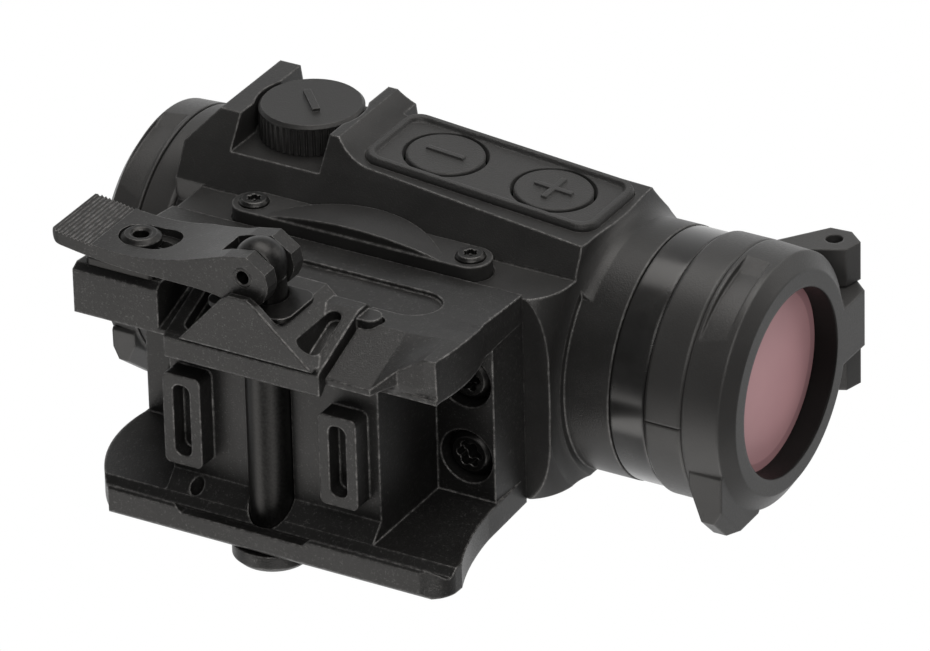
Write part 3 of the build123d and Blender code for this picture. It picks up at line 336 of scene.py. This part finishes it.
def plated(name, colour, roughness):
    """Plated metal contacts and a red lens, with slight patchiness."""
    material, tree, surface = new_material(name)
    cloud = noise(tree, CLOUD_SCALE * 4.0, 3.0)
    dark = tuple(0.8 * part for part in colour[:3]) + (1.0,)
    tint = mix_colour(tree, ramp(tree, cloud, 0.3, 0.7), dark, colour)
    tree.links.new(tint, surface.inputs["Base Color"])
    tree.links.new(ramp(tree, cloud, 0.3, 0.7, roughness, roughness + 0.12), surface.inputs["Roughness"])
    surface.inputs["Metallic"].default_value = 0.8
    tree.links.new(soft_normal(tree, EDGE_RADIUS * 0.5), surface.inputs["Normal"])
    return material


def circuit(name):
    """Green solder mask over faint tracks."""
    material, tree, surface = new_material(name)
    bricks = add(tree, "ShaderNodeTexBrick", None, {"Vector": place(tree), "Scale": 260.0})
    tracks = bricks.outputs["Fac"]
    tint = mix_colour(tree, tracks, (0.012, 0.085, 0.035, 1), (0.03, 0.17, 0.07, 1))
    tree.links.new(tint, surface.inputs["Base Color"])
    surface.inputs["Roughness"].default_value = 0.35
    rounded = soft_normal(tree, BOARD_EDGE_RADIUS)
    tree.links.new(bump(tree, tracks, 0.02 * MM, 0.3, rounded), surface.inputs["Normal"])
    return material


finishes = {
    "anodised": anodised("anodised", 0.028, 0.40, 0.5, 0.10),
    "mount_metal": anodised("mount_metal", 0.020, 0.40, 0.80, 0.45),
    "gloss_ring": gloss_black("gloss_ring"),
    "black_steel": steel("black_steel", 0.035, 0.36),
    "spring_steel": steel("spring_steel", 0.45, 0.28),
    "cover_polymer": moulded("cover_polymer", 0.032, 0.40),
    "pad_rubber": rubber("pad_rubber", 0.018, 5200.0, 0.05 * MM),
    "seal_rubber": rubber("seal_rubber", 0.012, 3000.0, 0.01 * MM),
    "tinted_window": window_tint("tinted_window"),
    "coated_glass": coated_glass("coated_glass"),
    "board": circuit("board"),
    "cell_steel": steel("cell_steel", 0.55, 0.22),
    "contact": plated("contact", (0.80, 0.58, 0.24, 1.0), 0.25),
    "led": plated("led", (0.65, 0.05, 0.04, 1.0), 0.15),
    "tube_inner": moulded("tube_inner", 0.015, 0.6),
}

# pieces with grooves or knurls too fine for the usual edge radius
knurled = anodised("knurled", 0.026, 0.40, 0.35, 0.05, FINE_EDGE_RADIUS)
grooved = anodised("grooved", 0.024, 0.40, 0.90, 0.45, FINE_EDGE_RADIUS)
special = {"windage_cap": knurled, "elevation_cap": knurled, "clamp_lever": grooved}

for part in frame["record"]["subparts"]:
    piece = nodes[part["node"]]
    piece.data.materials.clear()
    piece.data.materials.append(special.get(part["node"], finishes[part["material_slot"]]))


# ---------------------------------------------------------------- stage

def floor_material():
    """Pale matte floor, seen only from above so that it never hides the underside."""
    material, tree, surface = new_material("pale_floor")
    cloud = noise(tree, 6.0, 3.0)
    tint = mix_colour(tree, cloud, grey(0.80), grey(0.84))
    tree.links.new(tint, surface.inputs["Base Color"])
    surface.inputs["Roughness"].default_value = 0.8
    clear = add(tree, "ShaderNodeBsdfTransparent").outputs[0]
    back = add(tree, "ShaderNodeNewGeometry").outputs["Backfacing"]
    mix = tree.nodes.new("ShaderNodeMixShader")
    tree.links.new(back, mix.inputs[0])
    tree.links.new(surface.outputs[0], mix.inputs[1])
    tree.links.new(clear, mix.inputs[2])
    tree.links.new(mix.outputs[0], tree.nodes["Material Output"].inputs["Surface"])
    return material


def make_floor(height):
    """A round floor just under the part."""
    mesh = bpy.data.meshes.new("floor")
    shape = bmesh.new()
    bmesh.ops.create_circle(shape, cap_ends=True, segments=FLOOR_SIDES, radius=FLOOR_RADIUS)
    shape.to_mesh(mesh)
    shape.free()
    floor = bpy.data.objects.new("floor", mesh)
    floor.location.z = height
    floor.data.materials.append(floor_material())
    bpy.context.scene.collection.objects.link(floor)
    floor.visible_shadow = False
    floor.visible_glossy = False
    floor.visible_diffuse = False


def place_in_sky(tree):
    """The direction of a world ray."""
    return add(tree, "ShaderNodeTexCoord").outputs["Generated"]


def make_world(backdrop, front, behind):
    """White seen directly. As light it is dim in front of the part and bright behind it."""
    world = bpy.data.worlds.new("studio")
    bpy.context.scene.world = world
    world.use_nodes = True
    tree = world.node_tree
    seen = add(tree, "ShaderNodeLightPath").outputs["Is Camera Ray"]
    values = {0: place_in_sky(tree), 1: VIEW_DIRECTION}
    away = add(tree, "ShaderNodeVectorMath", {"operation": "DOT_PRODUCT"}, values).outputs["Value"]
    glow = ramp(tree, away, -0.1, 0.9, front, behind)
    lit = maths(tree, "MULTIPLY", glow, maths(tree, "SUBTRACT", 1.0, seen))
    strength = maths(tree, "ADD", lit, maths(tree, "MULTIPLY", seen, backdrop))
    background = tree.nodes["Background"]
    background.inputs["Color"].default_value = (1.0, 1.0, 1.0, 1.0)
    tree.links.new(strength, background.inputs["Strength"])


view_right = VIEW_DIRECTION.cross(VIEW_UP).normalized()
view_up = view_right.cross(VIEW_DIRECTION).normalized()


def soft_box(name, right, up, near, width, height, power):
    """A soft light set in metres to the right of, above and in front of the part in the view."""
    light = bpy.data.lights.new(name, "AREA")
    light.shape = "RECTANGLE"
    light.size = width
    light.size_y = height
    light.energy = power
    light.color = LAMP_COLOUR
    holder = bpy.data.objects.new(name, light)
    offset = view_right * right + view_up * up - VIEW_DIRECTION * near
    holder.location = AIM + offset
    holder.rotation_mode = "QUATERNION"
    holder.rotation_quaternion = (-offset).to_track_quat("-Z", "Y")
    holder.visible_camera = False
    bpy.context.scene.collection.objects.link(holder)


def make_camera():
    """The camera at the part's three-quarter underside view."""
    lens = bpy.data.cameras.new("camera")
    lens.sensor_width = SENSOR_MM
    lens.lens = LENS_MM
    lens.clip_start = 0.05
    lens.clip_end = 20.0
    camera = bpy.data.objects.new("camera", lens)
    turn = Matrix((view_right, view_up, -VIEW_DIRECTION)).transposed()
    camera.matrix_world = Matrix.Translation(AIM - VIEW_DIRECTION * VIEW_DISTANCE) @ turn.to_4x4()
    bpy.context.scene.collection.objects.link(camera)
    bpy.context.scene.camera = camera


make_floor(cad_box[0].z - FLOOR_DROP)
make_world(1.0, 0.09, 0.9)
soft_box("key", 0.1, 0.85, 0.30, 0.9, 0.5, 5.4)
soft_box("table_bounce", 0.0, -0.9, 0.05, 1.2, 0.8, 5.5)
soft_box("right_top", 0.75, 0.55, 0.0, 0.5, 0.5, 1.4)
soft_box("left_low", -0.75, -0.6, 0.1, 0.5, 0.5, 1.6)
soft_box("front_fill", 0.1, 0.30, 1.25, 1.1, 0.8, 7.0)
make_camera()
bpy.context.scene.view_settings.view_transform = "Standard"
